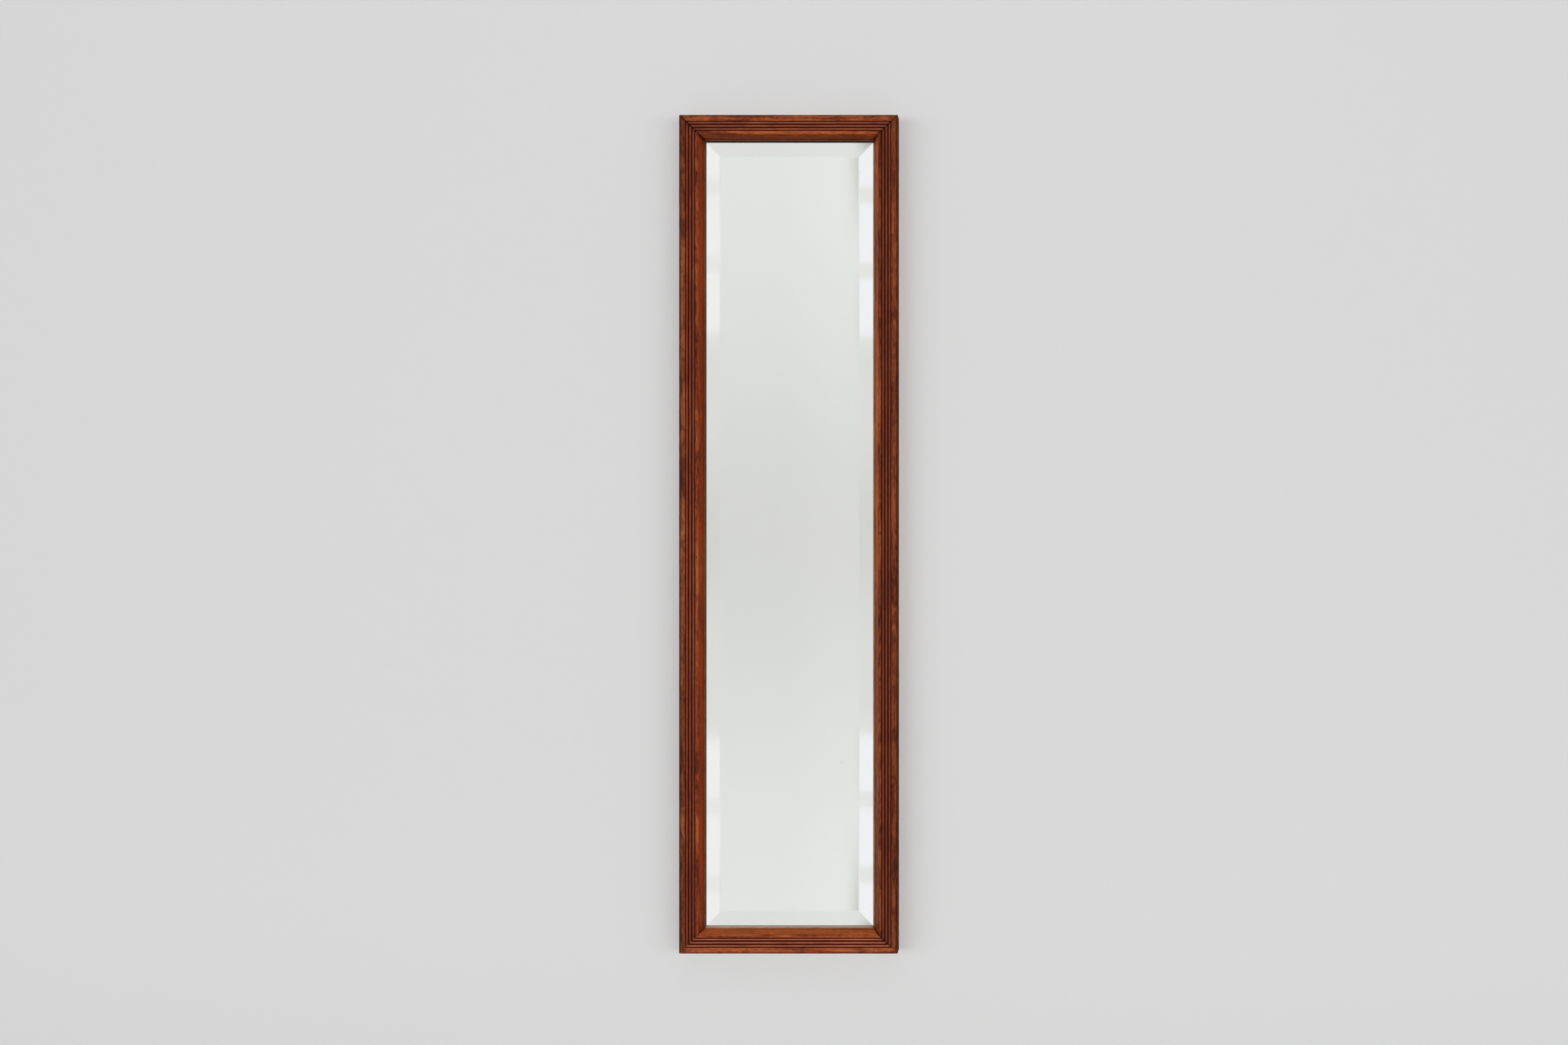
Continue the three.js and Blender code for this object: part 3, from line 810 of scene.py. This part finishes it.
# dark line, grime and worn tip at each mitre
def oakMitres(tree, look, wood, axes, inwards, patchy, stains):
    chipping = marked(tree, look, "chips")
    upright = look["edge"] in ("left", "right")
    for end in look["ends"]:
        corner = (look["edge"], end) if upright else (end, look["edge"])
        width, start, grime, tip = mitres[corner]
        toEnd = fromEdge(tree, axes, end)
        away = calc(tree, "ABSOLUTE", calc(tree, "SUBTRACT", toEnd, inwards))
        beside = ramp(tree, away, oakLook["grimeReach"], 0.0)
        smear = times(tree, beside, ramp(tree, stains, -0.4, 1.0))
        wood = blend(tree, times(tree, smear, grime), wood, oakLook["fleck"])
        worn = ramp(tree, calc(tree, "ADD", toEnd, inwards), *oakLook["wornTip"])
        worn = times(tree, times(tree, worn, patchy), tip)
        wood = blend(tree, worn, wood, look["worn"])
        ragged = scaled(tree, patchy, 0.6 * width, 0.7 * width)
        line = ramp(tree, calc(tree, "SUBTRACT", away, ragged), 0.0005, -0.0001)
        line = times(tree, line, ramp(tree, inwards, start - 0.0015, start + 0.0015))
        wood = blend(tree, line, wood, oakLook["dirtAndShade"])
        chips = times(tree, ramp(tree, away, *oakLook["chipReach"]), chipping)
        wood = blend(tree, chips, wood, oakLook["chip"])
    return wood


# bare wood on the back and in the rebate, with a ragged edge to the varnish
def oakBack(tree, look, wood, axes, inwards, depth, pores):
    fromBack = calc(tree, "SUBTRACT", backY, axes["y"])
    ragged = times(tree, grained(tree, look, "varnishEdge"), oakLook["raggedBy"])
    rub = ramp(tree, calc(tree, "SUBTRACT", fromBack, ragged), 0.0012, 0.0)
    rub = times(tree, rub, oakLook["rubShare"])
    onBack = calc(tree, "MAXIMUM", ramp(tree, fromBack, 0.0004, 0.0002), rub)
    seat = backY - faceY - seatDepth
    inRebate = ramp(tree, fromBack, seat + 0.0001, seat - 0.0001)
    inRebate = times(tree, inRebate, ramp(tree, inwards, rebateIn - 0.0004, rebateIn - 0.0001))
    bareness = calc(tree, "MAXIMUM", onBack, inRebate)
    bare = blend(tree, ramp(tree, depth, 0.2, 0.75), oakLook["bareDark"], oakLook["bare"])
    bare = blend(tree, times(tree, pores, 0.5), bare, oakLook["dark"])
    return blend(tree, bareness, wood, bare), bareness


def oakMaterial(node, look):
    material, tree, shader = newMaterial("varnishedOak_" + node)
    axes = objectAxes(tree)
    inwards = fromEdge(tree, axes, look["edge"])
    below = calc(tree, "SUBTRACT", axes["y"], faceY)
    scuffs = marked(tree, look, "scuffs")
    patchy = marked(tree, look, "patches")
    wood, depth, stains, pores = oakFigure(tree, look)
    # each side's paleness also paints the light that falls on that side
    wood = tinted(tree, wood, colourOf((look["palenessAndSideLight"],) * 3))
    wood = oakRelief(tree, look, wood, axes, inwards, below, scuffs, depth)
    wood = oakShade(tree, look, wood, inwards, below, patchy)
    wood = oakMitres(tree, look, wood, axes, inwards, patchy, stains)
    wood, bareness = oakBack(tree, look, wood, axes, inwards, depth, pores)
    setInput(tree, shader.inputs["Base Color"], wood)

    # duller on the outer sides and where the wood is bare
    dull = calc(tree, "MAXIMUM", ramp(tree, inwards, 0.003, 0.0005), bareness)
    sheen = scaled(tree, scuffs, 0.14, oakLook["roughness"])
    setInput(tree, shader.inputs["Roughness"], scaled(tree, dull, 0.4, sheen))
    shader.inputs["Specular IOR Level"].default_value = oakLook["varnishShine"]
    relief = scaled(tree, pores, -0.6, times(tree, depth, 0.5))
    roughened(tree, shader, relief, 0.35, 0.0002)
    return material


for node, look in oakSides.items():
    dress(rails[node], oakMaterial(node, look))
print("oak finished")


# plate of glass, ground to a bevel all round, with its silvering behind it

plateShape = {
    "rim": 0.003,  # glass left at the edge
    "bevel": 0.0305,
    "softLine": 0.0006,  # where the bevel meets the flat
}
glassLook = {
    "clear": (0.985, 0.994, 0.99, 1),
    "cloudy": (0.978, 0.99, 0.984, 1),
    "ior": 1.52,
    "ripple": (0.02, 0.002),  # strength and distance
}
silverLook = {
    "bright": (0.93, 0.935, 0.925, 1),
    "dim": (0.915, 0.925, 0.915, 1),
    "spot": tone(120, 116, 104),
    "spotsFrom": (0.79, 0.83),
    "spotShare": 0.35,
    "paint": (tone(96, 92, 88), tone(128, 122, 114)),
    "paintRoughness": 0.7,
}


def selectFaces(piece, isChosen):
    bpy.ops.object.mode_set(mode="EDIT")
    bpy.ops.mesh.select_mode(type="FACE")
    bpy.ops.mesh.select_all(action="DESELECT")
    bpy.ops.object.mode_set(mode="OBJECT")
    for face in piece.data.polygons:
        face.select = isChosen(face)
    bpy.ops.object.mode_set(mode="EDIT")


def buildPlate():
    low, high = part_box("mirror_plate")
    middle = (low + high) / 2
    bpy.ops.object.select_all(action="DESELECT")
    centre = (middle.x, high.y - plateShape["rim"] / 2, middle.z)
    bpy.ops.mesh.primitive_cube_add(size=1, location=centre)
    plate = bpy.context.object
    plate.name = "bevelled_plate"
    plate.scale = (high.x - low.x, plateShape["rim"], high.z - low.z)
    bpy.ops.object.transform_apply(location=True, rotation=True, scale=True)
    selectFaces(plate, lambda face: face.normal.y < -0.9)
    rise = high.y - low.y - plateShape["rim"]
    bpy.ops.mesh.inset(thickness=plateShape["bevel"], depth=rise)
    bpy.ops.mesh.bevel(offset=plateShape["softLine"], segments=3, affect="EDGES")
    bpy.ops.object.mode_set(mode="OBJECT")
    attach(plate, "mirror")
    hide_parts("mirror_plate")
    return plate


def glassMaterial():
    material, tree, shader = newMaterial("plateGlass")
    cloud = noise(tree, placed(tree, (1, 2, 3)), 7, 2)
    tint = blend(tree, cloud, glassLook["clear"], glassLook["cloudy"])
    setInput(tree, shader.inputs["Base Color"], tint)
    shader.inputs["Roughness"].default_value = 0.0
    shader.inputs["IOR"].default_value = glassLook["ior"]
    shader.inputs["Transmission Weight"].default_value = 1.0
    drawn = noise(tree, placed(tree, (5, 2, 3), (1, 1, 0.25)), 11, 1)
    roughened(tree, shader, drawn, *glassLook["ripple"])
    return material


def silverMaterial():
    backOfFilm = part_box("silvering")[1].y
    material, tree, shader = newMaterial("silverFilm")
    cloud = noise(tree, placed(tree, (1, 7, 3)), 5, 3)
    silver = blend(tree, cloud, silverLook["bright"], silverLook["dim"])
    # the film has gone dark in a few small spots
    spots = ramp(tree, noise(tree, placed(tree, (2, 7, 3)), 95, 2), *silverLook["spotsFrom"])
    spots = times(tree, spots, silverLook["spotShare"])
    silver = blend(tree, spots, silver, silverLook["spot"])
    isPaint = ramp(tree, objectAxes(tree)["y"], backOfFilm - 0.0002, backOfFilm - 0.00015)
    streak = noise(tree, placed(tree, (1, 3, 8), (1, 1, 0.1)), 80, 3)
    paint = blend(tree, streak, *silverLook["paint"])
    setInput(tree, shader.inputs["Base Color"], blend(tree, isPaint, silver, paint))
    setInput(tree, shader.inputs["Metallic"], calc(tree, "SUBTRACT", 1.0, isPaint))
    setInput(tree, shader.inputs["Roughness"], times(tree, isPaint, silverLook["paintRoughness"]))
    return material


dress(buildPlate(), glassMaterial())
dress(nodes["silvering"], silverMaterial())
print("plate finished")


# back boards, wedge blocks and corner keys

pineLook = {
    "light": tone(196, 154, 104),
    "middle": tone(172, 126, 78),
    "dark": tone(128, 84, 46),
    "dust": tone(84, 66, 50),
    "ringCount": 95,
    "lateFrom": (0.55, 0.97),
    "lateShare": 0.6,
    "fibresFrom": (0.45, 0.75),
    "fibreShare": 0.35,
    "soilFrom": (0.5, 0.75),
    "soilShare": 0.4,
    "soiledRim": 0.018,  # how wide the dust lies along the edges of a board
    "rimShare": 0.65,
    "roughness": 0.82,
    "shine": 0.25,
    # where the figure of each board is placed
    "backboard_upper": (0.4, 3.0, 1.7),
    "backboard_middle": (2.6, 1.0, 4.4),
    "backboard_lower": (5.3, 2.0, 0.9),
}
# how wide the edges of each kind are softened
softEdges = {"backboard": 0.0006, "wedge": 0.0003, "hanger": 0.00018, "brad": 0.00012}
softFrom = 35  # degrees between two faces


def softenNode(name, kind):
    node = nodes[name]
    weld = node.modifiers.new("weld", "WELD")
    weld.merge_threshold = 0.00001
    bevel = node.modifiers.new("softEdge", "BEVEL")
    bevel.width = softEdges[kind]
    bevel.segments = 2
    bevel.limit_method = "ANGLE"
    bevel.angle_limit = math.radians(softFrom)
    bevel.use_clamp_overlap = True
    bevel.harden_normals = True
    for face in node.data.polygons:
        face.use_smooth = True


def toNearerEnd(tree, value, low, high):
    fromLow = calc(tree, "SUBTRACT", value, low)
    return calc(tree, "MINIMUM", fromLow, calc(tree, "SUBTRACT", high, value))


def pineMaterial(name, offset, edges=None):
    material, tree, shader = newMaterial("agedPine_" + name)
    field = noise(tree, placed(tree, offset, (0.05, 1, 1)), 13, 3, 0.5, 0.4)
    rings = scaled(tree, calc(tree, "SINE", times(tree, field, pineLook["ringCount"])), 0.5, 0.5)
    late = ramp(tree, rings, *pineLook["lateFrom"])
    fibre = noise(tree, placed(tree, offset, (0.02, 1, 1)), 700, 3, 0.6)
    broad = noise(tree, placed(tree, offset, (0.4, 1, 1)), 7, 3)
    wood = blend(tree, ramp(tree, broad, 0.3, 0.7), pineLook["middle"], pineLook["light"])
    wood = blend(tree, times(tree, late, pineLook["lateShare"]), wood, pineLook["dark"])
    fibres = ramp(tree, fibre, *pineLook["fibresFrom"])
    fibres = times(tree, fibres, pineLook["fibreShare"])
    wood = blend(tree, fibres, wood, pineLook["dark"])
    soil = ramp(tree, noise(tree, placed(tree, offset), 16, 4, 0.6), *pineLook["soilFrom"])
    soil = times(tree, soil, pineLook["soilShare"])
    if edges:
        axes = objectAxes(tree)
        side = toNearerEnd(tree, axes["x"], edges[0].x, edges[1].x)
        end = toNearerEnd(tree, axes["z"], edges[0].z, edges[1].z)
        rim = ramp(tree, calc(tree, "MINIMUM", side, end), pineLook["soiledRim"], 0.0)
        soil = calc(tree, "MAXIMUM", soil, times(tree, rim, pineLook["rimShare"]))
    wood = blend(tree, soil, wood, pineLook["dust"])
    setInput(tree, shader.inputs["Base Color"], wood)
    shader.inputs["Roughness"].default_value = pineLook["roughness"]
    shader.inputs["Specular IOR Level"].default_value = pineLook["shine"]
    sawn = noise(tree, placed(tree, offset, (1, 1, 0.05)), 240, 2)
    relief = scaled(tree, late, 0.4, scaled(tree, fibre, 0.5, sawn))
    roughened(tree, shader, relief, 0.4, 0.0003)
    return material


def keyMaterial():
    material, tree, shader = newMaterial("oakKey")
    streaks = noise(tree, placed(tree, (3, 3, 3)), 500, 3)
    wood = blend(tree, streaks, oakLook["dark"], oakLook["middle"])
    setInput(tree, shader.inputs["Base Color"], wood)
    shader.inputs["Roughness"].default_value = 0.6
    return material


blockPine = pineMaterial("blocks", (7.0, 4.0, 2.0))
keyOak = keyMaterial()
for name in nodes:
    if name.startswith("backboard"):
        softenNode(name, "backboard")
        dress(nodes[name], pineMaterial(name, pineLook[name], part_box(name)))
    elif name.startswith("wedge"):
        softenNode(name, "wedge")
        dress(nodes[name], blockPine)
    elif name.startswith("corner_key"):
        dress(nodes[name], keyOak)
print("back finished")


# hangers and brads

steelLook = {
    # bright and dull metal, and from which value of its noise rust shows
    "hanger": (tone(158, 154, 146), tone(112, 106, 98), 0.62),
    "brad": (tone(96, 88, 80), tone(58, 48, 40), 0.5),
    "rust": tone(104, 58, 32),
    "rustSoft": 0.1,
    "dullFrom": (0.35, 0.65),
    "roughness": (0.24, 0.3),  # least, and how much the clouds add
}


def steelMaterial(name):
    bright, dull, rustFrom = steelLook[name]
    material, tree, shader = newMaterial("steel_" + name)
    cloud = noise(tree, placed(tree, (1, 5, 2)), 130, 4, 0.6)
    metal = blend(tree, ramp(tree, cloud, *steelLook["dullFrom"]), bright, dull)
    blotches = noise(tree, placed(tree, (6, 5, 2)), 240, 4, 0.65)
    rust = ramp(tree, blotches, rustFrom, rustFrom + steelLook["rustSoft"])
    setInput(tree, shader.inputs["Base Color"], blend(tree, rust, metal, steelLook["rust"]))
    setInput(tree, shader.inputs["Metallic"], scaled(tree, rust, -0.9, 1.0))
    least, added = steelLook["roughness"]
    setInput(tree, shader.inputs["Roughness"], scaled(tree, cloud, added, least))
    fine = noise(tree, placed(tree, (2, 5, 2)), 1400, 2)
    roughened(tree, shader, fine, 0.2, 0.0001)
    return material


hangerSteel = steelMaterial("hanger")
bradSteel = steelMaterial("brad")
for name in nodes:
    if name.startswith("hanger"):
        softenNode(name, "hanger")
        dress(nodes[name], hangerSteel)
    elif name.startswith("brad"):
        softenNode(name, "brad")
        dress(nodes[name], bradSteel)
print("hangers finished")

bpy.context.view_layer.update()
